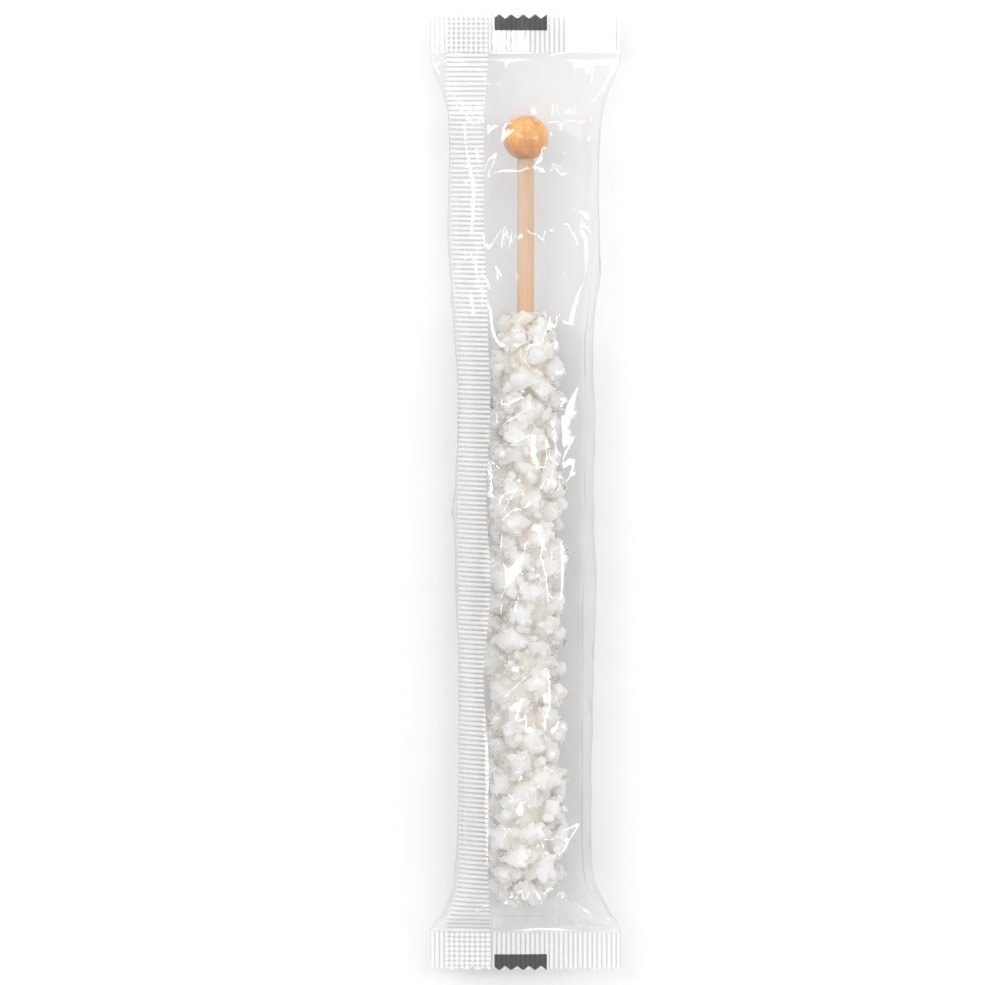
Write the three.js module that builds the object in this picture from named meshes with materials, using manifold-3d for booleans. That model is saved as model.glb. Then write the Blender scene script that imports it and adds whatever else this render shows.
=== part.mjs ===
// A stick of rock candy: a wooden dowel with a ball glued on one end, white sugar crystals grown along
// the rest of it, and the clear flow-wrap film that it is sold in. It lies flat on its film.
// Millimetres. +Y runs along the stick towards the ball and +Z is up. The origin is on the ground,
// under the middle of the wrapper.
import * as THREE from 'three';
import { ConvexGeometry } from 'three/addons/geometries/ConvexGeometry.js';
import { mergeVertices } from 'three/addons/utils/BufferGeometryUtils.js';
import Module from 'manifold-3d';

const wasm = await Module();
wasm.setup();

// Driving sizes
const STICK_LENGTH = 165; // top of the ball to the tip of the candy
const BALL_DIAMETER = 9.5;
const DOWEL_DIAMETER = 3.5;
const BARE_DOWEL = 31; // between the ball and the first crystals
const CANDY_WIDEST = 19.5; // across the crystal tips
const FILM_LENGTH = 200; // from cut edge to cut edge
const FILM_GIRTH = 80; // once round the tube of film
const FILM_THICKNESS = 0.25; // far over the real 0.03, so that the film is a sound solid
const FIN_WIDTH = 8.5; // the long back seal
const SEAL_LENGTH = 8; // each crimped end
const GAP = 0.3; // air between neighbouring pieces

// Places along Y, worked out from the sizes
const SHIFT_TO_TIP = 3.5; // the stick has slid this far down its wrapper
const BALL_TOP = STICK_LENGTH / 2 - SHIFT_TO_TIP;
const BALL_CENTRE = BALL_TOP - BALL_DIAMETER / 2;
const CANDY_START = BALL_TOP - BALL_DIAMETER - BARE_DOWEL;
const CANDY_END = BALL_TOP - STICK_LENGTH;
const FILM_END = FILM_LENGTH / 2;
const SEAL_START = FILM_END - SEAL_LENGTH;

// Height of the dowel's axis: the widest crystals just clear the film that lies on the ground
const AXIS_HEIGHT = FILM_THICKNESS + GAP + CANDY_WIDEST / 2;

// A smooth curve through [place, value] pairs that never swings past them, flat beyond both ends
function through(keys, place) {
  if (place <= keys[0][0]) return keys[0][1];
  const last = keys.length - 1;
  if (place >= keys[last][0]) return keys[last][1];
  const i = keys.findIndex(([at]) => at > place) - 1;
  const chord = (k) => (keys[k + 1][1] - keys[k][1]) / (keys[k + 1][0] - keys[k][0]);
  const slope = (k) => {
    if (k <= 0 || k >= last || chord(k - 1) * chord(k) <= 0) return 0;
    return (2 * chord(k - 1) * chord(k)) / (chord(k - 1) + chord(k));
  };
  const span = keys[i + 1][0] - keys[i][0];
  const t = (place - keys[i][0]) / span;
  const s = 1 - t;
  return keys[i][1] * s * s * (1 + 2 * t) + slope(i) * span * t * s * s
    + keys[i + 1][1] * t * t * (3 - 2 * t) - slope(i + 1) * span * t * t * s;
}

// Random numbers from 0 to 1, the same on every run
function seeded(seed) {
  let state = seed;
  return () => {
    state = (state + 0x6d2b79f5) | 0;
    let mixed = Math.imul(state ^ (state >>> 15), 1 | state);
    mixed = (mixed + Math.imul(mixed ^ (mixed >>> 7), 61 | mixed)) ^ mixed;
    return ((mixed ^ (mixed >>> 14)) >>> 0) / 4294967296;
  };
}

// Closed three.js geometry to a solid for joining and cutting, and back
function toSolid(geometry) {
  const bare = geometry.clone();
  bare.deleteAttribute('normal');
  bare.deleteAttribute('uv');
  const merged = mergeVertices(bare, 1e-4);
  return new wasm.Manifold(new wasm.Mesh({
    numProp: 3,
    vertProperties: merged.getAttribute('position').array,
    triVerts: new Uint32Array(merged.index.array),
  }));
}

function toGeometry(solid) {
  const mesh = solid.getMesh();
  const geometry = new THREE.BufferGeometry();
  geometry.setAttribute('position', new THREE.BufferAttribute(mesh.vertProperties, 3));
  geometry.setIndex(new THREE.BufferAttribute(mesh.triVerts, 1));
  const flat = geometry.toNonIndexed();
  flat.computeVertexNormals();
  return flat;
}

// The largest piece of a solid: drops loose scraps and fills hollows that joining has sealed
function soundBody(solid) {
  return solid.decompose().sort((a, b) => b.volume() - a.volume())[0];
}

function lathe(profile, segments) {
  return new THREE.LatheGeometry(profile.map(([r, y]) => new THREE.Vector2(r, y)), segments);
}

// Wooden stick: a plain dowel whose end sits in a hole drilled into the ball
const DOWEL_RADIUS = DOWEL_DIAMETER / 2;
const DOWEL_CHAMFER = 0.4;
const BORE_RADIUS = DOWEL_RADIUS + GAP;
const BORE_DEPTH = 5.5;
const TIP_COVER = 4; // sugar beyond the dowel's end
const DOWEL_TIP = CANDY_END + TIP_COVER;

function dowel() {
  const top = BALL_CENTRE - BALL_DIAMETER / 2 + BORE_DEPTH - GAP;
  return lathe([
    [0, DOWEL_TIP],
    [DOWEL_RADIUS - DOWEL_CHAMFER, DOWEL_TIP],
    [DOWEL_RADIUS, DOWEL_TIP + DOWEL_CHAMFER],
    [DOWEL_RADIUS, top - DOWEL_CHAMFER],
    [DOWEL_RADIUS - DOWEL_CHAMFER, top],
    [0, top],
  ], 24);
}

function ball() {
  const radius = BALL_DIAMETER / 2;
  const mouth = Math.asin(BORE_RADIUS / radius);
  const steps = 12;
  const profile = [[0, BALL_CENTRE - radius + BORE_DEPTH], [BORE_RADIUS, BALL_CENTRE - radius + BORE_DEPTH]];
  for (let i = 0; i < steps; i += 1) {
    const angle = mouth + ((Math.PI - mouth) * i) / steps;
    profile.push([radius * Math.sin(angle), BALL_CENTRE - radius * Math.cos(angle)]);
  }
  profile.push([0, BALL_CENTRE + radius]);
  return lathe(profile, 26);
}

// Rock candy: blocky crystals on a core, fused into one body with the dowel's hole through it
const CRYSTAL_COUNT = 134;
const CRYSTAL_LENGTH = [0.62, 0.95]; // least and most, as shares of the candy's radius there
const CRYSTAL_WIDTH = [3.9, 6.8]; // where the candy is widest
const GOLDEN_ANGLE = Math.PI * (3 - Math.sqrt(5));
const CORE_SHARE = 0.61; // radius of the core over that of the crystal tips

// Radius of the crystal tips: [share of the way from the ball side to the tip, share of the widest]
const CANDY_OUTLINE = [
  [0, 0.5], [0.05, 0.76], [0.14, 0.85], [0.26, 0.81], [0.38, 0.89], [0.52, 0.94], [0.62, 0.87],
  [0.74, 0.94], [0.86, 1], [0.94, 0.94], [0.985, 0.68], [1, 0.42],
];

function candyRadius(y) {
  const share = (CANDY_START - y) / (CANDY_START - CANDY_END);
  return (CANDY_WIDEST / 2) * through(CANDY_OUTLINE, share);
}

// A sugar crystal: a slanted block, flat at its buried end and with a wedge at the outer one
function crystalPoints(length, width, thickness) {
  const slant = 0.25;
  const shoulder = 0.5;
  const points = [];
  for (const x of [-1, 1]) {
    for (const z of [-1, 1]) {
      points.push([x + slant * z, -1, z], [0.94 * (x + slant * z), shoulder, 0.94 * z]);
    }
    points.push([0.6 * x, 1, 0.12 * x]);
  }
  return points.map(([x, y, z]) => new THREE.Vector3((x * width) / 2, (y * length) / 2, (z * thickness) / 2));
}

// One crystal, turned mostly outward and moved so that its farthest corner just reaches the outline
function placedCrystal(y, around, random) {
  const between = ([low, high]) => low + (high - low) * random();
  const local = candyRadius(y);
  const length = local * between(CRYSTAL_LENGTH);
  const width = between(CRYSTAL_WIDTH) * (0.35 + (0.65 * local) / (CANDY_WIDEST / 2));
  const thickness = width * between([0.6, 0.95]);
  const tilt = between([-0.8, 0.8]);
  const lean = between([-0.5, 0.5]);
  const roll = between([0, Math.PI]);
  const reach = local * between([0.84, 1]);

  const points = crystalPoints(length, width, thickness);
  const turn = new THREE.Matrix4().makeRotationY(around)
    .multiply(new THREE.Matrix4().makeRotationX(Math.PI / 2 + tilt))
    .multiply(new THREE.Matrix4().makeRotationZ(lean))
    .multiply(new THREE.Matrix4().makeRotationY(roll));
  for (const point of points) point.applyMatrix4(turn);

  const outward = new THREE.Vector3(Math.sin(around), 0, Math.cos(around));
  let centre = reach - Math.max(...points.map((point) => point.dot(outward)));
  const farthest = () => Math.max(...points.map((p) => {
    return Math.hypot(p.x + outward.x * centre, p.z + outward.z * centre);
  }));
  centre -= Math.max(0, farthest() - reach);
  const ends = points.map((point) => point.y);
  const along = Math.min(Math.max(y, CANDY_END - Math.min(...ends)), CANDY_START - Math.max(...ends));
  for (const point of points) point.addScaledVector(outward, centre).setY(point.y + along);
  return toSolid(new ConvexGeometry(points));
}

function rockCandy() {
  const random = seeded(7);
  const solids = [];
  const rings = 12;
  const core = [[0, CANDY_END + 1.5]];
  for (let i = 0; i <= rings; i += 1) {
    const y = CANDY_END + 1.5 + ((CANDY_START - CANDY_END - 2) * i) / rings;
    core.push([candyRadius(y) * CORE_SHARE, y]);
  }
  core.push([0, CANDY_START - 0.5]);
  solids.push(toSolid(lathe(core, 9)));

  const margin = 1.6; // from each end of the candy to the middle of the first and last crystal
  for (let i = 0; i < CRYSTAL_COUNT; i += 1) {
    const share = (i + 0.5 + 0.6 * (random() - 0.5)) / CRYSTAL_COUNT;
    const y = CANDY_START - margin - (CANDY_START - CANDY_END - 2 * margin) * share;
    solids.push(placedCrystal(y, i * GOLDEN_ANGLE + 0.5 * (random() - 0.5), random));
  }
  const bore = toSolid(lathe([
    [0, DOWEL_TIP - GAP],
    [BORE_RADIUS, DOWEL_TIP - GAP],
    [BORE_RADIUS, CANDY_START + 10],
    [0, CANDY_START + 10],
  ], 16));
  return soundBody(wasm.Manifold.union(solids).subtract(bore));
}

// Wrapper: one sheet of film, folded into a tube whose two long edges are sealed back to back. That
// fin lies folded over on the upper left. Both ends are crimped flat and cut with a zigzag knife.
const HALF_GIRTH = FILM_GIRTH / 2;
const FOLD = FILM_GIRTH / 4; // from the top line to the crease that each end seal has on either side
const FIN_BASE = 16.5; // where the fin leaves the tube, measured along the film from the top line
const FIN_STEPS = 3; // faces across the fin
const LAYER_PITCH = FILM_THICKNESS + 1.5 * GAP;
const SEAL_HALF_HEIGHT = 0.3; // between the middles of the two crimped layers, halved
const TOOTH_PITCH = 2.5;
const TOOTH_DEPTH = 1;
const SEAL_HEIGHT = { tip: 7.6, ball: 6.4 };
const FILM_EASE = GAP + FILM_THICKNESS / 2 + 0.25; // film over the crystal tips

// Height of the film's upper and lower middle surface along the stick
const FLOOR = FILM_THICKNESS / 2;
const BALL_CLEAR = BALL_DIAMETER / 2 + FILM_EASE;
const TOP_LINE = [
  [-SEAL_START, SEAL_HEIGHT.tip + SEAL_HALF_HEIGHT],
  [CANDY_END - 1.5, AXIS_HEIGHT + 3.7],
  [CANDY_END + 4, AXIS_HEIGHT + candyRadius(CANDY_END + 7) + FILM_EASE],
  [CANDY_END + 12, AXIS_HEIGHT + CANDY_WIDEST / 2 + FILM_EASE],
  [CANDY_END + 24, AXIS_HEIGHT + CANDY_WIDEST / 2 + FILM_EASE],
  [-28, AXIS_HEIGHT + 0.95 * (CANDY_WIDEST / 2) + FILM_EASE],
  [8, AXIS_HEIGHT + 0.89 * (CANDY_WIDEST / 2) + FILM_EASE],
  [CANDY_START - 8, AXIS_HEIGHT + 0.85 * (CANDY_WIDEST / 2) + FILM_EASE],
  [CANDY_START, AXIS_HEIGHT + 0.72 * (CANDY_WIDEST / 2) + FILM_EASE],
  [(CANDY_START + BALL_CENTRE) / 2, AXIS_HEIGHT + 4.9],
  [BALL_CENTRE - 3, AXIS_HEIGHT + BALL_CLEAR],
  [BALL_CENTRE + 3, AXIS_HEIGHT + BALL_CLEAR],
  [SEAL_START, SEAL_HEIGHT.ball + SEAL_HALF_HEIGHT],
];
const BOTTOM_LINE = [
  [-SEAL_START, SEAL_HEIGHT.tip - SEAL_HALF_HEIGHT],
  [CANDY_END - 1.5, 2.4],
  [CANDY_END + 7, FLOOR],
  [CANDY_START - 12, FLOOR],
  [CANDY_START + 10, 1.1],
  [BALL_CENTRE, 3],
  [SEAL_START, SEAL_HEIGHT.ball - SEAL_HALF_HEIGHT],
];

const PLEATS = 7; // round the girth
// Gathers that run from each end seal into the tube
function pleats(along, y) {
  const fromSeal = SEAL_START - Math.abs(y);
  const room = through(BOTTOM_LINE, y) - FLOOR;
  const height = Math.min(through([[0, 0], [4, 0.5], [9, 0.45], [22, 0]], fromSeal), room);
  return height * Math.cos((along / FILM_GIRTH) * 2 * Math.PI * PLEATS);
}

// A slow wave that the end seals have, dying out where the film lies on the ground
function sealWave(x, y) {
  const height = y > 0 ? SEAL_HEIGHT.ball : SEAL_HEIGHT.tip;
  const share = (through(BOTTOM_LINE, y) - FLOOR) / height;
  return share * (0.7 * Math.sin(x * 0.19 + (y > 0 ? 0.6 : 2.4)) + 0.02 * x);
}

// How much longer a vertical step has to be for layers on a slope to stay as far apart
function steepness(line, y) {
  const step = 0.2;
  return Math.hypot(1, (through(line, y + step) - through(line, y - step)) / (2 * step));
}

// A point of the tube's film: along is measured round it from the top line, positive to the left,
// and lift is how far it stands off the tube. The section keeps its girth: two flats and two arcs.
function filmPoint(along, y, lift) {
  const top = through(TOP_LINE, y);
  const bottom = through(BOTTOM_LINE, y);
  const radius = (top - bottom) / 2;
  const flat = (FILM_GIRTH - 2 * Math.PI * radius) / 4;
  const side = Math.sign(along) || 1;
  const run = Math.abs(along);
  const turn = Math.min(Math.max((run - flat) / radius, 0), Math.PI);
  const upper = (1 + Math.cos(turn)) / 2;
  const slope = upper * steepness(TOP_LINE, y) + (1 - upper) * steepness(BOTTOM_LINE, y);
  const off = lift * slope + pleats(along, y);
  const arm = radius + off;
  let x = Math.min(run, flat) + arm * Math.sin(turn);
  if (turn === Math.PI) x -= run - flat - Math.PI * radius;
  const z = (top + bottom) / 2 + arm * Math.cos(turn);
  return new THREE.Vector3(-side * x, y, Math.max(z + sealWave(-side * x, y), 0));
}

// [along, lift] of each column of the sheet, from one free edge of the fin round to the other
function filmColumns() {
  const columns = [];
  const lay = (from, to, steps, lift) => {
    for (let i = 0; i <= steps; i += 1) columns.push([from + ((to - from) * i) / steps, lift]);
  };
  const inner = FIN_BASE - 0.3;
  const edge = FIN_BASE - FIN_WIDTH;
  lay(edge, inner, FIN_STEPS, 2 * LAYER_PITCH);
  columns.push([FIN_BASE + 1.6, 1.5 * LAYER_PITCH], [FOLD, 0]);
  lay(FOLD + 0.5, FOLD + 1.1, 1, 0);
  lay(FOLD + 2.6, FILM_GIRTH - FOLD - 2.6, 9, 0);
  lay(FILM_GIRTH - FOLD - 1.1, FILM_GIRTH - FOLD + 1.1, 4, 0);
  lay(FILM_GIRTH - FOLD + 2.6, FILM_GIRTH + edge - 2.6, 8, 0);
  lay(FILM_GIRTH + edge, FILM_GIRTH + inner, FIN_STEPS, 0);
  columns.push([FILM_GIRTH + FIN_BASE + 0.1, LAYER_PITCH / 2]);
  lay(FILM_GIRTH + inner, FILM_GIRTH + edge, FIN_STEPS, LAYER_PITCH);
  return columns.map(([along, lift]) => [along > HALF_GIRTH ? along - FILM_GIRTH : along, lift]);
}

function filmRows() {
  const marks = [0, 4, 8, 8.5, 9, 9.5, 10, 10.7, 11.5, 13, 15, 18, 23, 31, 42, 58, 78, FILM_END];
  const rows = marks.map((mark) => mark - FILM_END);
  return [...rows, ...rows.slice(0, -1).reverse().map((y) => -y)];
}

// The sheet as a closed solid: an outer and an inner face on one grid, joined round its four edges
function filmSheet() {
  const columns = filmColumns();
  const rows = filmRows();
  const positions = [];
  for (const side of [1, -1]) {
    for (const y of rows) {
      columns.forEach(([along, lift], i) => {
        // the fin's lower layer has turned over, so its outer face looks down
        const bend = i === columns.length - FIN_STEPS - 2;
        const turned = i > columns.length - FIN_STEPS - 2;
        const shift = (side * FILM_THICKNESS) / 2;
        const point = bend
          ? filmPoint(along - shift, y, lift)
          : filmPoint(along, y, lift + (turned ? -shift : shift));
        positions.push(...point.toArray());
      });
    }
  }
  const across = columns.length;
  const sheet = across * rows.length;
  const at = (layer, row, column) => layer * sheet + row * across + column;
  const triangles = [];
  const quad = (a, b, c, d) => triangles.push(a, c, b, a, d, c);
  for (let r = 0; r < rows.length - 1; r += 1) {
    for (let c = 0; c < across - 1; c += 1) {
      quad(at(0, r, c), at(0, r, c + 1), at(0, r + 1, c + 1), at(0, r + 1, c));
      quad(at(1, r, c), at(1, r + 1, c), at(1, r + 1, c + 1), at(1, r, c + 1));
    }
    quad(at(0, r, 0), at(0, r + 1, 0), at(1, r + 1, 0), at(1, r, 0));
    quad(at(0, r, across - 1), at(1, r, across - 1), at(1, r + 1, across - 1), at(0, r + 1, across - 1));
  }
  const top = rows.length - 1;
  for (let c = 0; c < across - 1; c += 1) {
    quad(at(0, 0, c), at(1, 0, c), at(1, 0, c + 1), at(0, 0, c + 1));
    quad(at(0, top, c), at(0, top, c + 1), at(1, top, c + 1), at(1, top, c));
  }
  const geometry = new THREE.BufferGeometry();
  geometry.setAttribute('position', new THREE.Float32BufferAttribute(positions, 3));
  geometry.setIndex(triangles);
  return toSolid(geometry);
}

// What the zigzag knife takes off one end; end is 1 at the ball and -1 at the tip
function knifeWaste(end) {
  const half = 10 * TOOTH_PITCH;
  const shape = new THREE.Shape();
  shape.moveTo(-half, end * (FILM_END + 5));
  const teeth = (2 * half) / TOOTH_PITCH;
  for (let i = 0; i <= 2 * teeth; i += 1) {
    const depth = i % 2 ? TOOTH_DEPTH : 0;
    shape.lineTo(-half + (TOOTH_PITCH * i) / 2, end * (FILM_END - 0.02 - depth));
  }
  shape.lineTo(half, end * (FILM_END + 5));
  shape.closePath();
  const waste = new THREE.ExtrudeGeometry(shape, { depth: 30, bevelEnabled: false });
  return toSolid(waste.translate(0, 0, -5));
}

function wrapper() {
  return soundBody(filmSheet().subtract(knifeWaste(1)).subtract(knifeWaste(-1)));
}

// Materials
const wood = new THREE.MeshStandardMaterial({ color: 0xe8c096, roughness: 0.6, metalness: 0 });
const varnishedWood = new THREE.MeshStandardMaterial({ color: 0xdca065, roughness: 0.28, metalness: 0 });
const sugar = new THREE.MeshStandardMaterial({ color: 0xefe9e0, roughness: 0.2, metalness: 0 });
const film = new THREE.MeshStandardMaterial({
  color: 0xf4f6f8, roughness: 0.08, metalness: 0, transparent: true, opacity: 0.25,
});

// The piece: everything on the stick turns about one axis, at one height over the ground
function named(name, geometry, material) {
  const mesh = new THREE.Mesh(geometry, material);
  mesh.name = name;
  return mesh;
}

const stick = new THREE.Group();
stick.position.z = AXIS_HEIGHT;
stick.add(
  named('ball', ball(), varnishedWood),
  named('dowel', dowel(), wood),
  named('rock_candy', toGeometry(rockCandy()), sugar),
);

const rockCandyStick = new THREE.Group();
rockCandyStick.add(stick, named('wrapper', toGeometry(wrapper()), film));

export default rockCandyStick;
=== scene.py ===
import math

import bmesh
import bpy
import numpy as np
from mathutils import Matrix, Vector
from mathutils.bvhtree import BVHTree


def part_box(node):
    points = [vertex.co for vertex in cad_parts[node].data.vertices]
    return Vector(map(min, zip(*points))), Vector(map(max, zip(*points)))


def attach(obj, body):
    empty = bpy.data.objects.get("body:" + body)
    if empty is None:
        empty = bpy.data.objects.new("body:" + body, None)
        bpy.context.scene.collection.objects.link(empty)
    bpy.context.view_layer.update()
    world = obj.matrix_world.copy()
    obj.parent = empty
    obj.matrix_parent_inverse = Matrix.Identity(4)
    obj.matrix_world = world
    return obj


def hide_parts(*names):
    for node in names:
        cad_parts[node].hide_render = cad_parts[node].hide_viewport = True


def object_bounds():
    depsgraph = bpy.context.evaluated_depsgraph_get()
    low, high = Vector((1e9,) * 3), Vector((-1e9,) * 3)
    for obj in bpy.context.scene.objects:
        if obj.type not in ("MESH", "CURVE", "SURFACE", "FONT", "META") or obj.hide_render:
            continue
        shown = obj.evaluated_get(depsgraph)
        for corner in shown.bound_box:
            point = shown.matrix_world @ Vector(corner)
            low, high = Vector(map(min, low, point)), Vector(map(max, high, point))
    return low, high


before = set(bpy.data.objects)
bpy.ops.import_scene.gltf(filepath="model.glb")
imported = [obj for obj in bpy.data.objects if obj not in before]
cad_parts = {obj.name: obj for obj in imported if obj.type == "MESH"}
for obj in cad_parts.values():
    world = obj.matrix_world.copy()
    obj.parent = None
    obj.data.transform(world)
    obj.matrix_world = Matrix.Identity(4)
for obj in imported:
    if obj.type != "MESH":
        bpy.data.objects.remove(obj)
cad_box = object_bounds()
scene = bpy.context.scene


# The studio: the wrapped stick lies on a pale matt table, under a soft sky. Seven strip
# softboxes stand round it, and their reflections draw the bright streaks on the film's creases.
TABLE_COLOUR = (0.76, 0.76, 0.765, 1.0)
TABLE_HALF = 3.0
SKY_SLOPE = (0.0, 0.3, 0.38)
SKY_LEVEL = 0.55
SKY_STRENGTH = 1.08


def make_table():
    """The surface that the stick lies on, which isn't part of it."""
    mesh = bpy.data.meshes.new("table_top")
    corners = [(-TABLE_HALF, -TABLE_HALF, 0), (TABLE_HALF, -TABLE_HALF, 0)]
    corners += [(TABLE_HALF, TABLE_HALF, 0), (-TABLE_HALF, TABLE_HALF, 0)]
    mesh.from_pydata(corners, [], [(0, 1, 2, 3)])
    table = bpy.data.objects.new("table_top", mesh)
    scene.collection.objects.link(table)
    matt = bpy.data.materials.new("table_white")
    matt.use_nodes = True
    paint = matt.node_tree.nodes["Principled BSDF"]
    paint.inputs["Base Color"].default_value = TABLE_COLOUR
    paint.inputs["Roughness"].default_value = 0.7
    paint.inputs["Specular IOR Level"].default_value = 0.2
    mesh.materials.append(matt)


def softbox(name, place, width, height, watts):
    """A flat lamp that faces the middle of the stick."""
    light = bpy.data.lights.new(name, "AREA")
    light.shape = "RECTANGLE"
    light.size = width
    light.size_y = height
    light.energy = watts
    lamp = bpy.data.objects.new(name, light)
    lamp.location = place
    lamp.rotation_euler = (-Vector(place)).to_track_quat("-Z", "Y").to_euler()
    scene.collection.objects.link(lamp)


make_table()
softbox("softbox_left", (-0.62, 0.35, 1.0), width=0.09, height=0.9, watts=4.0)
softbox("softbox_right", (0.85, 0.1, 0.7), width=0.07, height=0.8, watts=2.0)
softbox("softbox_near", (0.26, 0.15, 1.3), width=0.03, height=0.7, watts=1.2)
softbox("softbox_far_left", (-0.42, 1.1, 0.75), width=0.2, height=0.9, watts=2.2)
softbox("softbox_far_right", (0.3, 1.15, 0.75), width=0.15, height=0.9, watts=1.8)
softbox("softbox_low_left", (-0.3, -1.1, 0.42), width=0.09, height=0.75, watts=1.3)
softbox("softbox_low_right", (0.13, -1.1, 0.42), width=0.09, height=0.75, watts=1.5)


def make_sky():
    """Light from all round, brightest overhead and beyond the ball, dimmer towards the other end."""
    world = bpy.data.worlds.new("studio")
    world.use_nodes = True
    nodes, links = world.node_tree.nodes, world.node_tree.links
    place = nodes.new("ShaderNodeTexCoord")
    rise = nodes.new("ShaderNodeVectorMath")
    rise.operation = "DOT_PRODUCT"
    rise.inputs[1].default_value = SKY_SLOPE
    links.new(place.outputs["Generated"], rise.inputs[0])
    tone = nodes.new("ShaderNodeMath")
    tone.operation = "ADD"
    tone.inputs[1].default_value = SKY_LEVEL
    links.new(rise.outputs["Value"], tone.inputs[0])
    links.new(tone.outputs[0], nodes["Background"].inputs["Color"])
    nodes["Background"].inputs["Strength"].default_value = SKY_STRENGTH
    world.cycles.sampling_method = "NONE"
    scene.world = world


make_sky()
scene.view_settings.view_transform = "Standard"
# Light crosses several layers of film and sugar, and with so few lamps a light tree costs time
scene.cycles.use_light_tree = False
scene.cycles.max_bounces = 9
scene.cycles.transmission_bounces = 7
scene.cycles.transparent_max_bounces = 16
scene.cycles.sample_clamp_indirect = 6.0
scene.cycles.caustics_refractive = False

# The camera looks down from over the ball end, so that the stick is seen as a standing one is
# from the height of its top.
CAMERA_DISTANCE = 2.2
CAMERA_OVER = 0.1
SHOWN_WIDTH = 0.2057
SENSOR_WIDTH = 36.0
VIEW_CENTRE = Vector((-0.0070, 0.0002, 0.009))

lens = bpy.data.cameras.new("camera")
lens.sensor_width = SENSOR_WIDTH
lens.lens = SENSOR_WIDTH * CAMERA_DISTANCE / SHOWN_WIDTH
lens.clip_end = 20.0
camera = bpy.data.objects.new("camera", lens)
camera_tilt = math.asin(CAMERA_OVER / CAMERA_DISTANCE)
camera.location = VIEW_CENTRE + Vector((0.0, CAMERA_OVER, CAMERA_DISTANCE * math.cos(camera_tilt)))
camera.rotation_euler = (-camera_tilt, 0.0, 0.0)
scene.collection.objects.link(camera)
scene.camera = camera


# The wooden ball: the knob that the stick is held by, turned from birch, drilled to take the
# dowel, and dipped in a glossy orange-tan varnish.
MM = 0.001
BALL_LOW, BALL_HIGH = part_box("ball")
AXIS_Z = (BALL_LOW[2] + BALL_HIGH[2]) / 2
BALL_RADIUS = (BALL_HIGH[2] - BALL_LOW[2]) / 2
BALL_Y = BALL_HIGH[1] - BALL_RADIUS
BORE_RADIUS = 2.05 * MM
BORE_DEPTH = 5.5 * MM
# The bore's edge is broken, this far down the bore and this far round the ball, in radians
EDGE_DEPTH = 0.3 * MM
EDGE_ANGLE = 0.05
BALL_RINGS = 40
BALL_SEGMENTS = 72
SOAK_AND_SHADE_SHARE = 0.75  # how much of its tint shows where it is deepest: syrup soaked into the dowel, and painted shade on the ball


def turned_mesh(name, profile, segments):
    """A lathe-turned mesh about the stick's axis from (radius, y) pairs. A ring of no radius is
    a single point, which closes an end."""
    shape = bmesh.new()
    rings = []
    for radius, y in profile:
        angles = [2 * math.pi * i / segments for i in range(segments if radius else 1)]
        ring = [(radius * math.sin(angle), y, AXIS_Z + radius * math.cos(angle)) for angle in angles]
        rings.append([shape.verts.new(corner) for corner in ring])
    for low, high in zip(rings, rings[1:]):
        for i in range(segments):
            j = i + 1
            corners = [low[i % len(low)], low[j % len(low)], high[j % len(high)], high[i % len(high)]]
            shape.faces.new(list(dict.fromkeys(corners)))
    bmesh.ops.recalc_face_normals(shape, faces=shape.faces)
    mesh = bpy.data.meshes.new(name)
    shape.to_mesh(mesh)
    shape.free()
    mesh.shade_smooth()
    return mesh


def add_piece(name, mesh, material, node):
    """Shows a mesh in place of a CAD node, on the part's one body."""
    piece = bpy.data.objects.new(name, mesh)
    scene.collection.objects.link(piece)
    mesh.materials.append(material)
    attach(piece, "root")
    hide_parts(node)


def grain_group():
    """Wood grain: fine dark pores and slow bands that run along the stick."""
    group = bpy.data.node_groups.new("wood_grain", "ShaderNodeTree")
    group.interface.new_socket("Fineness", in_out="INPUT", socket_type="NodeSocketFloat")
    group.interface.new_socket("Stretch", in_out="INPUT", socket_type="NodeSocketVector")
    group.interface.new_socket("Pores", in_out="OUTPUT", socket_type="NodeSocketFloat")
    group.interface.new_socket("Bands", in_out="OUTPUT", socket_type="NodeSocketFloat")
    nodes, links = group.nodes, group.links
    enter = nodes.new("NodeGroupInput")
    leave = nodes.new("NodeGroupOutput")
    place = nodes.new("ShaderNodeTexCoord")
    stretch = nodes.new("ShaderNodeVectorMath")
    stretch.operation = "MULTIPLY"
    links.new(place.outputs["Object"], stretch.inputs[0])
    links.new(enter.outputs["Stretch"], stretch.inputs[1])
    pores = nodes.new("ShaderNodeTexNoise")
    pores.inputs["Detail"].default_value = 3.0
    pores.inputs["Roughness"].default_value = 0.6
    links.new(stretch.outputs[0], pores.inputs["Vector"])
    links.new(enter.outputs["Fineness"], pores.inputs["Scale"])
    bands = nodes.new("ShaderNodeTexNoise")
    bands.inputs["Scale"].default_value = 320.0
    bands.inputs["Detail"].default_value = 1.0
    links.new(stretch.outputs[0], bands.inputs["Vector"])
    links.new(pores.outputs["Fac"], leave.inputs["Pores"])
    links.new(bands.outputs["Fac"], leave.inputs["Bands"])
    return group


WOOD_GRAIN = grain_group()


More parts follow.
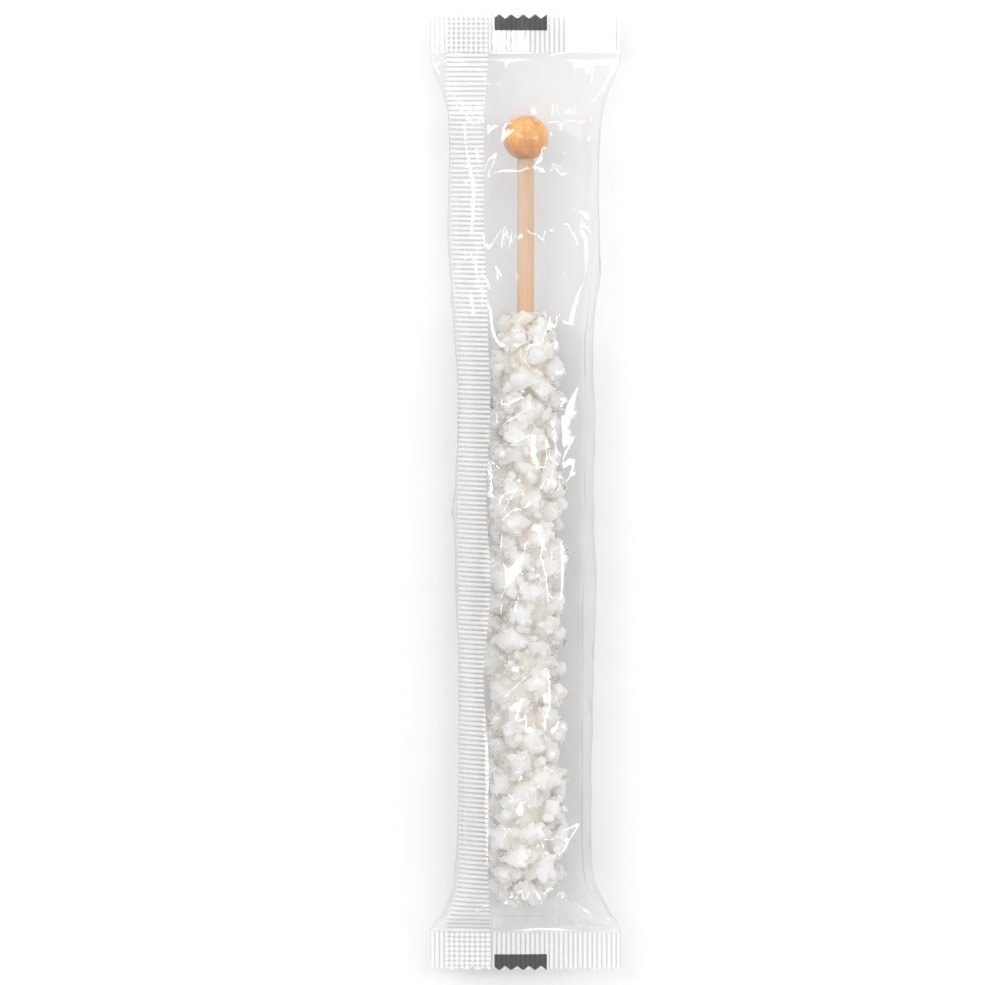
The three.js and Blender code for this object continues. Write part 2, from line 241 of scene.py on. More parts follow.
def wood(name, pale, deep, fineness, stretch, roughness, varnish, bump):
    """Wood of two tones with the grain between them; varnish is the weight of its clear coat."""
    material = bpy.data.materials.new(name)
    material.use_nodes = True
    nodes, links = material.node_tree.nodes, material.node_tree.links
    surface = nodes["Principled BSDF"]
    grain = nodes.new("ShaderNodeGroup")
    grain.node_tree = WOOD_GRAIN
    grain.inputs["Fineness"].default_value = fineness
    grain.inputs["Stretch"].default_value = stretch
    both = nodes.new("ShaderNodeMix")
    both.inputs["Factor"].default_value = 0.45
    links.new(grain.outputs["Bands"], both.inputs["A"])
    links.new(grain.outputs["Pores"], both.inputs["B"])
    tone = nodes.new("ShaderNodeValToRGB")
    tone.color_ramp.elements[0].position = 0.36
    tone.color_ramp.elements[0].color = deep
    tone.color_ramp.elements[1].position = 0.62
    tone.color_ramp.elements[1].color = pale
    links.new(both.outputs["Result"], tone.inputs["Fac"])
    links.new(tone.outputs["Color"], surface.inputs["Base Color"])
    relief = nodes.new("ShaderNodeBump")
    relief.inputs["Strength"].default_value = bump
    relief.inputs["Distance"].default_value = 0.1 * MM
    links.new(grain.outputs["Pores"], relief.inputs["Height"])
    links.new(relief.outputs["Normal"], surface.inputs["Normal"])
    surface.inputs["Roughness"].default_value = roughness
    surface.inputs["Coat Weight"].default_value = varnish
    surface.inputs["Coat Roughness"].default_value = 0.18
    surface.inputs["Subsurface Weight"].default_value = 0.08
    surface.inputs["Subsurface Radius"].default_value = (1.0, 0.5, 0.25)
    surface.inputs["Subsurface Scale"].default_value = 1.0 * MM
    return material


def soak_and_shade_group():
    """A tint that comes in along the stick from End to Start: syrup soaked into the dowel, and painted
    shade on the ball's side towards the bore.
    """
    group = bpy.data.node_groups.new("soak_and_shade_tint", "ShaderNodeTree")
    group.interface.new_socket("Wood", in_out="INPUT", socket_type="NodeSocketColor")
    group.interface.new_socket("Tint", in_out="INPUT", socket_type="NodeSocketColor")
    group.interface.new_socket("Start", in_out="INPUT", socket_type="NodeSocketFloat")
    group.interface.new_socket("End", in_out="INPUT", socket_type="NodeSocketFloat")
    group.interface.new_socket("Tinted wood", in_out="OUTPUT", socket_type="NodeSocketColor")
    nodes, links = group.nodes, group.links
    enter = nodes.new("NodeGroupInput")
    leave = nodes.new("NodeGroupOutput")
    place = nodes.new("ShaderNodeTexCoord")
    split = nodes.new("ShaderNodeSeparateXYZ")
    links.new(place.outputs["Object"], split.inputs["Vector"])
    level = nodes.new("ShaderNodeMapRange")
    level.interpolation_type = "SMOOTHSTEP"
    level.inputs["To Max"].default_value = SOAK_AND_SHADE_SHARE
    links.new(split.outputs["Y"], level.inputs["Value"])
    links.new(enter.outputs["End"], level.inputs["From Min"])
    links.new(enter.outputs["Start"], level.inputs["From Max"])
    tint = nodes.new("ShaderNodeMix")
    tint.data_type = "RGBA"
    tint.blend_type = "MULTIPLY"
    links.new(level.outputs["Result"], tint.inputs["Factor"])
    links.new(enter.outputs["Wood"], tint.inputs["A"])
    links.new(enter.outputs["Tint"], tint.inputs["B"])
    links.new(tint.outputs["Result"], leave.inputs["Tinted wood"])
    return group


SOAK_AND_SHADE_TINT = soak_and_shade_group()


def deepen(material, tint, start, end):
    """Lets a tint come in over a wood, from its place along the stick at end to that at start."""
    nodes, links = material.node_tree.nodes, material.node_tree.links
    surface = nodes["Principled BSDF"]
    plain = surface.inputs["Base Color"].links[0].from_socket
    tinted = nodes.new("ShaderNodeGroup")
    tinted.node_tree = SOAK_AND_SHADE_TINT
    tinted.inputs["Tint"].default_value = tint
    tinted.inputs["Start"].default_value = start
    tinted.inputs["End"].default_value = end
    links.new(plain, tinted.inputs["Wood"])
    links.new(tinted.outputs["Tinted wood"], surface.inputs["Base Color"])


def ball_profile():
    """From the bore's floor, out over its broken edge and round the ball to the far side."""
    mouth = math.asin(BORE_RADIUS / BALL_RADIUS)
    floor = BALL_Y - BALL_RADIUS + BORE_DEPTH
    profile = [(0.0, floor), (BORE_RADIUS, floor)]
    profile.append((BORE_RADIUS, BALL_Y - BALL_RADIUS * math.cos(mouth) + EDGE_DEPTH))
    for i in range(BALL_RINGS):
        angle = mouth + EDGE_ANGLE + (math.pi - mouth - EDGE_ANGLE) * i / BALL_RINGS
        profile.append((BALL_RADIUS * math.sin(angle), BALL_Y - BALL_RADIUS * math.cos(angle)))
    profile.append((0.0, BALL_Y + BALL_RADIUS))
    return profile


varnished = wood(
    "varnished_wood", pale=(0.86, 0.41, 0.065, 1.0), deep=(0.5, 0.175, 0.02, 1.0),
    fineness=1500.0, stretch=(1.0, 0.16, 1.0), roughness=0.42, varnish=1.0, bump=0.1,
)
# Painted shade: the ball darkens towards the bore, on the side turned away from the far lamps, as if in
# shadow
deepen(varnished, (0.62, 0.42, 0.28, 1.0), BALL_Y - BALL_RADIUS, BALL_Y + 0.3 * BALL_RADIUS)
ball_mesh = turned_mesh("wooden_ball", ball_profile(), BALL_SEGMENTS)
add_piece("wooden_ball", ball_mesh, varnished, "ball")


# The dowel: a plain pale birch skewer, sanded but not varnished. Its top is glued into the ball
# and the candy has grown round the rest.
DOWEL_LOW, DOWEL_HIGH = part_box("dowel")
DOWEL_RADIUS = (DOWEL_HIGH[2] - DOWEL_LOW[2]) / 2
DOWEL_CHAMFER = 0.35 * MM
DOWEL_SEGMENTS = 40
CANDY_LOW, CANDY_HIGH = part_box("rock_candy")
SYRUP_RISE = 16 * MM


def dowel_profile():
    """Along the dowel, with its two ends chamfered."""
    low, high = DOWEL_LOW[1], DOWEL_HIGH[1]
    profile = [(0.0, low), (DOWEL_RADIUS - DOWEL_CHAMFER, low), (DOWEL_RADIUS, low + DOWEL_CHAMFER)]
    profile += [(DOWEL_RADIUS, high - DOWEL_CHAMFER), (DOWEL_RADIUS - DOWEL_CHAMFER, high), (0.0, high)]
    return profile


bare_wood = wood(
    "bare_wood", pale=(0.64, 0.46, 0.32, 1.0), deep=(0.54, 0.355, 0.23, 1.0),
    fineness=2600.0, stretch=(1.0, 0.06, 1.0), roughness=0.6, varnish=0.0, bump=0.35,
)
# Syrup soaked up the wood from the candy while the crystals grew
deepen(bare_wood, (0.97, 0.78, 0.58, 1.0), CANDY_HIGH[1], CANDY_HIGH[1] + SYRUP_RISE)
dowel_mesh = turned_mesh("dowel_stick", dowel_profile(), DOWEL_SEGMENTS)
add_piece("dowel_stick", dowel_mesh, bare_wood, "dowel")


# The rock candy: sugar crystals that grew round the dowel in syrup, large ones out of a cloudy
# core with many small ones between them. The large ones are the CAD piece's own, and the small
# ones are seeded on their faces.
SMALL_CRYSTALS = 2300
CRYSTAL_SEED = 5
SMALL_SIZE = (1.5, 4.8)  # shortest and longest, in millimetres
CANDY_REACH = 9.75 * MM  # how far any crystal may stand out from the dowel's axis
TIP_REACH = 5.2 * MM  # the same at the tip, from where it grows by TIP_SLOPE
TIP_SLOPE = 1.1
CORE_REACH = 7.5 * MM  # within this of the axis lie the hollows between large crystals
HOLLOW_FAVOUR = 2.5
BORE_WALL = 1.2 * MM  # the bore's faces lie within this of the dowel's side
BORE_FLOOR = 1.5 * MM  # and within this of its end
DOWEL_GAP = 0.5 * MM
TOP_ROOM = 0.2 * MM  # how far small crystals may pass the large ones at the top, and at the tip
TIP_ROOM = 0.8 * MM
LEAN_SPREAD = 0.6
SUNK_SHARE = 0.2
CLEAR_EVERY = 2
SUGAR_INDEX = 1.5
# How far from the axis the milky sugar is darkest and warmest, where the wood shows through and shade is
# painted into the hollows, and whitest, and how far clouds shift that
WARM_SHADED_DEPTH = 5.6 * MM
WHITE_DEPTH = 10.5 * MM
CLOUD_SHIFT = 4 * MM


def crystal_template():
    """A sugar crystal two units long: a slanted six-sided block with a wedge at each end."""
    section = [(1, 0.35), (0.45, 1), (-0.8, 1), (-1, -0.35), (-0.45, -1), (0.8, -1)]
    half_width, half_thickness, slant = 0.6, 0.5, 0.22
    shoulder, wedge_half, wedge_tilt = 0.56, 0.3, 0.05
    points = []
    for end in (-1, 1):
        points += [((x + slant * z) * half_width, end * shoulder, z * half_thickness) for x, z in section]
        points += [(wedge_half, end, wedge_tilt * end), (-wedge_half, end, -wedge_tilt * end)]
    shape = bmesh.new()
    for point in points:
        shape.verts.new(point)
    bmesh.ops.convex_hull(shape, input=shape.verts)
    loose = [vert for vert in shape.verts if not vert.link_faces]
    bmesh.ops.delete(shape, geom=loose, context="VERTS")
    bmesh.ops.dissolve_limit(shape, angle_limit=0.02, verts=shape.verts, edges=shape.edges)
    shape.verts.index_update()
    corners = np.array([vert.co[:] for vert in shape.verts])
    faces = [[vert.index for vert in face.verts] for face in shape.faces]
    shape.free()
    return corners, faces


def turned_to(direction, random):
    """A turn that takes a crystal's length to the direction, with a random roll about it."""
    roll = Matrix.Rotation(random.uniform(0, math.tau), 3, "Y")
    return np.array(Vector((0, 1, 0)).rotation_difference(Vector(direction)).to_matrix() @ roll)


def closed_copy(source):
    """The CAD piece's mesh with its split corners joined again."""
    shape = bmesh.new()
    shape.from_mesh(source)
    bmesh.ops.remove_doubles(shape, verts=shape.verts, dist=1e-7)
    mesh = bpy.data.meshes.new("candy_base")
    shape.to_mesh(mesh)
    shape.free()
    return mesh


def seats_on(mesh, random):
    """Random places on the candy's faces, more of them in the hollows, with the face's direction
    at each. None lies in the bore, where crystals would grow into the dowel."""
    mesh.calc_loop_triangles()
    places = np.array([vert.co[:] for vert in mesh.vertices])
    corners = places[np.array([tri.vertices[:] for tri in mesh.loop_triangles])]
    normal = np.cross(corners[:, 1] - corners[:, 0], corners[:, 2] - corners[:, 0])
    area = np.linalg.norm(normal, axis=1) / 2
    normal /= np.maximum(2 * area, 1e-12)[:, None]
    middle = corners.mean(axis=1)
    off_axis = np.hypot(middle[:, 0], middle[:, 2] - AXIS_Z)
    beside_dowel = off_axis < DOWEL_RADIUS + BORE_WALL
    in_bore = beside_dowel & (middle[:, 1] > DOWEL_LOW[1] - BORE_FLOOR)
    chance = np.where(in_bore, 0, area)
    chance = np.where(off_axis < CORE_REACH, HOLLOW_FAVOUR * chance, chance)
    chosen = random.choice(len(area), SMALL_CRYSTALS, p=chance / chance.sum())
    mix = random.dirichlet((1, 1, 1), SMALL_CRYSTALS)
    return np.einsum("nk,nkd->nd", mix, corners[chosen]), normal[chosen]


def small_crystals(mesh):
    """Corner places of each small crystal, leaving out any that would stand too far out or touch
    the dowel."""
    random = np.random.default_rng(CRYSTAL_SEED)
    seats, normals = seats_on(mesh, random)
    template, faces = crystal_template()
    grown = []
    for seat, normal in zip(seats, normals):
        lean = normal + random.normal(0, LEAN_SPREAD, 3)
        size = (SMALL_SIZE[0] + (SMALL_SIZE[1] - SMALL_SIZE[0]) * random.beta(1.3, 2.4)) * MM / 2
        girth = np.array([random.uniform(0.8, 1.3), 1.0, random.uniform(0.8, 1.25)])
        turned = (template * girth * size) @ turned_to(lean, random).T
        placed = turned + seat - normal * size * SUNK_SHARE
        reach = np.hypot(placed[:, 0], placed[:, 2] - AXIS_Z)
        room = np.minimum(CANDY_REACH, TIP_REACH + TIP_SLOPE * (placed[:, 1] - CANDY_LOW[1]))
        high, low = placed[:, 1].max(), placed[:, 1].min()
        inside = high < CANDY_HIGH[1] + TOP_ROOM and low > CANDY_LOW[1] - TIP_ROOM
        clear_of_dowel = reach.min() > DOWEL_RADIUS + DOWEL_GAP or high < DOWEL_LOW[1] - DOWEL_GAP
        if inside and clear_of_dowel and np.all(reach < room):
            grown.append(placed)
    return grown, faces


def apart_batches(grown):
    """Sorts the crystals into batches in which no two touch, so that each batch is sound."""
    middles = np.array([placed.mean(axis=0) for placed in grown])
    radii = np.array([np.linalg.norm(placed - placed.mean(axis=0), axis=1).max() for placed in grown])
    batches = []
    for i in range(len(grown)):
        for batch in batches:
            gaps = np.linalg.norm(middles[batch] - middles[i], axis=1) - radii[batch] - radii[i]
            if gaps.min() > 0:
                batch.append(i)
                break
        else:
            batches.append([i])
    return batches


def joined_crystals(name, body_mesh, grown, faces):
    """One sound mesh of the body, which may be empty, and all the crystals grown on it."""
    body = bpy.data.objects.new("candy_body", body_mesh)
    scene.collection.objects.link(body)
    helpers = []
    for batch in apart_batches(grown):
        count = len(grown[0])
        corners = np.concatenate([grown[i] for i in batch]).tolist()
        sides = [[index + count * n for index in face] for n in range(len(batch)) for face in faces]
        mesh = bpy.data.meshes.new("candy_batch")
        mesh.from_pydata(corners, [], sides)
        helper = bpy.data.objects.new("candy_batch", mesh)
        scene.collection.objects.link(helper)
        helpers.append(helper)
        join = body.modifiers.new("join", "BOOLEAN")
        join.operation = "UNION"
        join.solver = "MANIFOLD"
        join.object = helper
    depsgraph = bpy.context.evaluated_depsgraph_get()
    mesh = bpy.data.meshes.new_from_object(body.evaluated_get(depsgraph))
    mesh.name = name
    for helper in [body, *helpers]:
        bpy.data.objects.remove(helper)
    mesh.materials.clear()
    mesh.shade_flat()
    return mesh


def sugar():
    """Milky sugar: clear enough to glow from within, whiter at the tips, darker and warmer deep in, where
    the wood shows through and where shade is painted into the hollows. How deep a place lies is its
    distance from the core's axis, or past the tip, from its end."""
    material = bpy.data.materials.new("milky_sugar")
    material.use_nodes = True
    nodes, links = material.node_tree.nodes, material.node_tree.links
    surface = nodes["Principled BSDF"]
    place = nodes.new("ShaderNodeTexCoord")
    from_axis = nodes.new("ShaderNodeVectorMath")
    from_axis.operation = "SUBTRACT"
    from_axis.inputs[1].default_value = (0.0, CANDY_LOW[1] + CORE_REACH, AXIS_Z)
    links.new(place.outputs["Object"], from_axis.inputs[0])
    # No sideways part reaches 1 m, so those stay as they are; lengthwise, only what lies past
    # the core's end is kept
    outward = nodes.new("ShaderNodeVectorMath")
    outward.operation = "MINIMUM"
    outward.inputs[1].default_value = (1.0, 0.0, 1.0)
    links.new(from_axis.outputs[0], outward.inputs[0])
    depth = nodes.new("ShaderNodeVectorMath")
    depth.operation = "LENGTH"
    links.new(outward.outputs[0], depth.inputs[0])
    clouds = nodes.new("ShaderNodeTexNoise")
    clouds.inputs["Scale"].default_value = 330.0
    clouds.inputs["Detail"].default_value = 3.0
    links.new(place.outputs["Object"], clouds.inputs["Vector"])
    drift = nodes.new("ShaderNodeMath")
    drift.operation = "MULTIPLY_ADD"
    drift.inputs[1].default_value = CLOUD_SHIFT
    links.new(clouds.outputs["Fac"], drift.inputs[0])
    links.new(depth.outputs["Value"], drift.inputs[2])
    level = nodes.new("ShaderNodeMapRange")
    level.inputs["From Min"].default_value = WARM_SHADED_DEPTH
    level.inputs["From Max"].default_value = WHITE_DEPTH
    links.new(drift.outputs[0], level.inputs["Value"])
    # Painted shade: the deepest sugar, in the hollows between crystals, is darkest; part of its warmth is
    # the wood showing through
    tone = nodes.new("ShaderNodeValToRGB")
    tone.color_ramp.elements[0].position = 0.0
    tone.color_ramp.elements[0].color = (0.93, 0.795, 0.68, 1.0)
    tone.color_ramp.elements[1].position = 1.0
    tone.color_ramp.elements[1].color = (1.0, 0.954, 0.905, 1.0)
    middle = tone.color_ramp.elements.new(0.45)
    middle.color = (0.99, 0.922, 0.855, 1.0)
    links.new(level.outputs["Result"], tone.inputs["Fac"])
    links.new(tone.outputs["Color"], surface.inputs["Base Color"])
    surface.inputs["Roughness"].default_value = 0.1
    surface.inputs["IOR"].default_value = SUGAR_INDEX
    surface.inputs["Transmission Weight"].default_value = 0.18
    surface.inputs["Subsurface Weight"].default_value = 1.0
    surface.inputs["Subsurface Radius"].default_value = (1.0, 1.0, 1.0)
    surface.inputs["Subsurface Scale"].default_value = 4.5 * MM
    surface.inputs["Coat Weight"].default_value = 0.6
    surface.inputs["Coat Roughness"].default_value = 0.04
    steps = nodes.new("ShaderNodeTexNoise")
    steps.inputs["Scale"].default_value = 1100.0
    steps.inputs["Detail"].default_value = 2.0
    links.new(place.outputs["Object"], steps.inputs["Vector"])
    relief = nodes.new("ShaderNodeBump")
    relief.inputs["Strength"].default_value = 0.35
    relief.inputs["Distance"].default_value = 0.08 * MM
    links.new(steps.outputs["Fac"], relief.inputs["Height"])
    links.new(relief.outputs["Normal"], surface.inputs["Normal"])
    return material


def clear_sugar():
    """The last crystals to grow are nearly as clear as glass, and let light in to those below:
    rays of light, unlike those from the camera, go straight through them."""
    material = bpy.data.materials.new("clear_sugar")
    material.use_nodes = True
    nodes, links = material.node_tree.nodes, material.node_tree.links
    surface = nodes["Principled BSDF"]
    surface.inputs["Base Color"].default_value = (1.0, 0.978, 0.955, 1.0)
    surface.inputs["Roughness"].default_value = 0.04
    surface.inputs["IOR"].default_value = SUGAR_INDEX
    surface.inputs["Transmission Weight"].default_value = 1.0
    path = nodes.new("ShaderNodeLightPath")
    light_only = nodes.new("ShaderNodeMath")
    light_only.operation = "MAXIMUM"
    links.new(path.outputs["Is Shadow Ray"], light_only.inputs[0])
    links.new(path.outputs["Is Diffuse Ray"], light_only.inputs[1])
    passing = nodes.new("ShaderNodeBsdfTransparent")
    passing.inputs["Color"].default_value = (0.985, 0.975, 0.97, 1.0)
    lit = nodes.new("ShaderNodeMixShader")
    links.new(light_only.outputs[0], lit.inputs["Fac"])
    links.new(surface.outputs[0], lit.inputs[1])
    links.new(passing.outputs[0], lit.inputs[2])
    links.new(lit.outputs[0], nodes["Material Output"].inputs["Surface"])
    return material


candy_body = closed_copy(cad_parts["rock_candy"].data)
crystals, crystal_faces = small_crystals(candy_body)
clear_ones = crystals[::CLEAR_EVERY]
milky_ones = [crystal for i, crystal in enumerate(crystals) if i % CLEAR_EVERY]
milky_mesh = joined_crystals("rock_candy_crystals", candy_body, milky_ones, crystal_faces)
add_piece("rock_candy_crystals", milky_mesh, sugar(), "rock_candy")
no_body = bpy.data.meshes.new("no_body")
clear_mesh = joined_crystals("clear_crystals", no_body, clear_ones, crystal_faces)
add_piece("clear_crystals", clear_mesh, clear_sugar(), "rock_candy")


# The wrapper: one sheet of clear plastic film folded into a sleeve round the stick. Its long
# edges are sealed back to back and folded over as a ribbed fin, and both ends are crimped flat
# and zigzag-cut.
FILM_END = 100.0 * MM
FILM_GIRTH = 80.0 * MM
FIN_BASE = 16.5 * MM  # how far round from the middle of the top the fin is rooted
FIN_WIDTH = 8.5 * MM
FIN_LIFT = 0.22 * MM  # between the sleeve and the fin's two layers
FIN_EASE = 2.2 * MM  # how far from the fin's root the film comes down to the sleeve
SEAL_START = 92.0 * MM
SEAL_HALF = 0.08 * MM  # half of what parts the two layers where they are sealed
UPPER_SEAL_HEIGHT = 6.4 * MM
LOWER_SEAL_HEIGHT = 7.6 * MM
TOOTH_PITCH = 2.5 * MM
TOOTH_DEPTH = 1.0 * MM
GRID_ROUND = 0.39 * MM  # the steps of the film's mesh round the sleeve and along it
GRID_ALONG = 0.54 * MM
CRUMPLE_REACH = 420.0  # millimetres of crumpled sheet, more than the film takes in any direction
CREASE_SEED = 12
FAN_CREASES = 17
SLEEVE_CREASES = 60
BALL_SPREAD = 6.5 * MM  # the ball holds the film smooth about this far round it
FILM_HIGH = cad_box[1][2] - 0.15 * MM  # folds above this are pressed down to a quarter
PRESSED_SHARE = 0.75
TABLE_GAP = 0.03 * MM
FILM_INDEX = 1.5
TWO_FACES = 1.45  # the film's front and back together reflect this many times what one does
CLEAR_HAZE = 0.03
RIB_HAZE = 0.7
INK_COVER = 0.92
# The material's own sizes are in millimetres over the flat sheet. The sheet's coordinates are
# too, divided by these.
SHEET_UNITS = (100.0, 200.0)
RIB_PITCH = 1.0
GROOVE_HALF = 0.13
CRINKLE_HEIGHT = 0.08
MARK_MIDDLE = 73.0
MARK_WIDTH = 11.0
MARK_START = 96.6


def smooth_line(keys, places):
    """Values along y through (y, value) pairs, without swinging past any of them."""
    at = np.array([key[0] for key in keys]) * MM
    value = np.array([key[1] for key in keys]) * MM
    chord = np.diff(value) / np.diff(at)
    slope = np.zeros(len(at))
    for k in range(1, len(at) - 1):
        if chord[k - 1] * chord[k] > 0:
            slope[k] = 2 * chord[k - 1] * chord[k] / (chord[k - 1] + chord[k])
    inside = np.clip(places, at[0], at[-1])
    i = np.clip(np.searchsorted(at, inside, side="right") - 1, 0, len(at) - 2)
    span = at[i + 1] - at[i]
    t = (inside - at[i]) / span
    s = 1 - t
    start = value[i] * s * s * (1 + 2 * t) + slope[i] * span * t * s * s
    return start + value[i + 1] * t * t * (3 - 2 * t) - slope[i + 1] * span * t * t * s


def film_lines(y):
    """Heights of the sleeve's top and bottom lines, from the lower seal over the candy, the bare
    dowel and the ball to the upper seal, from pairs of y and height in millimetres."""
    axis = AXIS_Z / MM
    seals = [(-SEAL_START / MM, LOWER_SEAL_HEIGHT / MM), (SEAL_START / MM, UPPER_SEAL_HEIGHT / MM)]
    top = [seals[0], (-87.5, axis + 3.7), (-82, axis + 8.8), (-74, axis + 10.5), (-62, axis + 10.5)]
    top += [(-28, axis + 10.0), (8, axis + 9.4), (29.7, axis + 9.0), (37.7, axis + 7.8)]
    top += [(56, axis + 4.9), (71, axis + 5.4), (77.5, axis + 5.4), seals[1]]
    low = [seals[0], (-87.5, 2.4), (-79, 0.12), (25.7, 0.12), (47.7, 1.1), (74.25, 3.0), seals[1]]
    # Only near the seals is there room for the bottom line to lie half a seal lower
    near_seals = np.abs(y) > 80 * MM
    return smooth_line(top, y) + SEAL_HALF, smooth_line(low, y) - SEAL_HALF * near_seals


def triangle_wave(x):
    """Rises from 0 to 1 and falls back within each whole step of x."""
    return 2 * np.abs(x - np.floor(x + 0.5))


def slow_noise(u, v, cell, seed):
    """Smooth random values from 0 to 1 over the film, a new one at each step of cell."""
    size = 64
    table = np.random.default_rng(seed).random((size, size))
    a, b = u / cell + 20, v / cell + 30
    i, j = np.floor(a).astype(int), np.floor(b).astype(int)
    s, t = a - i, b - j
    s, t = s * s * (3 - 2 * s), t * t * (3 - 2 * t)
    i, j = i % (size - 1), j % (size - 1)
    low = table[i, j] * (1 - s) + table[i + 1, j] * s
    high = table[i, j + 1] * (1 - s) + table[i + 1, j + 1] * s
    return low * (1 - t) + high * t


def crease(u, v, middle, length, angle, reach, height):
    """One sharp fold of the film: a ridge along a straight line that dies out at both ends."""
    du, dv = u - middle[0], v - middle[1]
    along = du * math.sin(angle) + dv * math.cos(angle)
    across = du * math.cos(angle) - dv * math.sin(angle)
    taper = np.clip(1 - (np.abs(along) / (length / 2)) ** 2, 0, 1)
    spread = reach * (0.35 + 0.65 * taper) + 1e-9
    return height * taper * np.exp(-np.abs(across) / spread)


def facets(u, v, lean, cell, seed):
    """Heights, from -0.5 to 0.5, of flat triangles that meet in straight creases, as those of
    crumpled film do. The triangles' corners are a jittered grid with cells of the given size."""
    random = np.random.default_rng(seed)
    jitter = 0.36
    count = [math.ceil(CRUMPLE_REACH / size) for size in cell]
    i, j = np.meshgrid(np.arange(count[0]), np.arange(count[1]), indexing="ij")
    a = (i + random.uniform(-jitter, jitter, i.shape) - count[0] / 2) * cell[0]
    b = (j + random.uniform(-jitter, jitter, i.shape) - count[1] / 2) * cell[1]
    x = a * math.cos(lean) + b * math.sin(lean)
    y = b * math.cos(lean) - a * math.sin(lean)
    corners = np.stack([x, y, random.uniform(-0.5, 0.5, i.shape)], axis=-1).reshape(-1, 3)
    triangles = []
    for k in (i * count[1] + j)[:-1, :-1].ravel().tolist():
        quad = [k, k + count[1], k + count[1] + 1, k + 1]
        if random.random() < 0.5:
            quad = quad[1:] + quad[:1]
        triangles += [quad[:3], [quad[0], *quad[2:]]]
    sheet = BVHTree.FromPolygons(corners.tolist(), triangles)
    down = Vector((0, 0, -1))
    places = zip((u / MM).ravel().tolist(), (v / MM).ravel().tolist())
    return np.array([sheet.ray_cast((x, y, 1), down)[0].z for x, y in places]).reshape(u.shape)


def crumple(u, v):
    """Heights of all the folds: a fan of creases from each crimped end, scattered ones along the
    sleeve, and two sizes of facets. The ball holds the film smooth round itself."""
    random = np.random.default_rng(CREASE_SEED)
    total = np.zeros_like(u)
    for end in (-1, 1):
        for k in range(FAN_CREASES):
            start = FIN_WIDTH + FILM_GIRTH * (k + random.uniform(0.2, 0.8)) / FAN_CREASES
            length = random.uniform(18, 44) * MM
            angle = random.uniform(-0.35, 0.35)
            middle = (start, end * SEAL_START)
            height = random.choice([-1, 1]) * random.uniform(0.5, 1.2) * MM
            total += crease(u, v, middle, length, angle, random.uniform(0.8, 1.9) * MM, height)
    for _ in range(SLEEVE_CREASES):
        middle = (random.uniform(FIN_WIDTH, FIN_WIDTH + FILM_GIRTH), random.uniform(-90, 90) * MM)
        length = random.uniform(8, 42) * MM
        angle = random.normal(0, 0.55)
        height = random.choice([-1, 1]) * random.uniform(0.12, 0.45) * MM
        total += crease(u, v, middle, length, angle, random.uniform(0.9, 2.4) * MM, height)
    total += facets(u, v, lean=0.3, cell=(10, 26), seed=50) * 1.7 * MM
    total += facets(u, v, lean=-0.5, cell=(6, 15), seed=60) * 0.8 * MM
    from_ball = np.hypot(u - (FIN_WIDTH + FILM_GIRTH - FIN_BASE), v - BALL_Y)
    return total * (1 - np.exp(-((from_ball / BALL_SPREAD) ** 2)))


def film_points(along, y, lift, u):
    """Places of the film. Along is how far round from the middle of the top a place is, lift how
    far the fin's layers stand off the sleeve, and u the place across the flat sheet."""
    on_sleeve = (u > FIN_WIDTH) & (u < FIN_WIDTH + FILM_GIRTH)
    # Across, the sleeve is flat on top and below and a half circle at each side
    top, low = film_lines(y)
    radius = (top - low) / 2
    flat = (FILM_GIRTH - 2 * math.pi * radius) / 4
    side = np.where(along < 0, -1.0, 1.0)
    run = np.abs(along)
    turn = np.clip((run - flat) / radius, 0, math.pi)
    # The folds fade out at the seals, at the fin and where the film lies on the table, and press
    # in less over the candy's tip
    room = np.clip((radius - 0.3 * MM) / (2.5 * MM), 0, 1)
    from_fin = np.minimum(np.abs(u - FIN_WIDTH), np.abs(u - FIN_WIDTH - FILM_GIRTH))
    beside_fin = np.clip(from_fin / (4 * MM), 0, 1)
    underside = turn > 2.2
    off_table = np.where(underside, np.clip((low - 0.2 * MM) / (2 * MM), 0, 1), 1.0)
    sway = (slow_noise(u, y, 17 * MM, seed=9) - 0.5) * 1.1 * MM
    folds = (crumple(u, y) + sway) * room * off_table
    over_tip = np.clip((y - CANDY_LOW[1]) / (6 * MM), 0.2, 1)
    folds = np.where(folds < 0, folds * over_tip, folds)
    folds = np.where(on_sleeve, folds * beside_fin, 0)
    arm = radius + lift + folds
    x = np.minimum(run, flat) + arm * np.sin(turn)
    x = np.where(turn >= math.pi, x - (run - flat - math.pi * radius), x)
    z = (top + low) / 2 + arm * np.cos(turn)
    x = -side * x
    # Each sealed end has a slow wave across, which grows as the film rises from the table
    phase = np.where(y > 0, 0.6, 2.4)
    rise = np.clip(low / np.where(y > 0, UPPER_SEAL_HEIGHT, LOWER_SEAL_HEIGHT), 0, 1)
    z = z + rise * (0.7 * MM * np.sin(x / MM * 0.19 + phase) + 0.02 * x)
    # The fin's free edge curls up and wanders a little along its length
    from_edge = np.where(u < FILM_GIRTH / 2, u, FILM_GIRTH + 2 * FIN_WIDTH - u)
    out = np.clip(1 - from_edge / FIN_WIDTH, 0, 1)
    curl = (0.15 + 1.5 * slow_noise(y * 0, y, 13 * MM, seed=41)) * MM * room
    wander = (slow_noise(y * 0, y, 19 * MM, seed=42) - 0.5) * 1.6 * MM
    z = z + np.where(on_sleeve, 0, out**2 * curl)
    x = x + np.where(on_sleeve, 0, out * wander)
    too_high = np.maximum(z - FILM_HIGH, 0)
    return np.stack([x, y, np.maximum(z - PRESSED_SHARE * too_high, TABLE_GAP)], axis=-1)


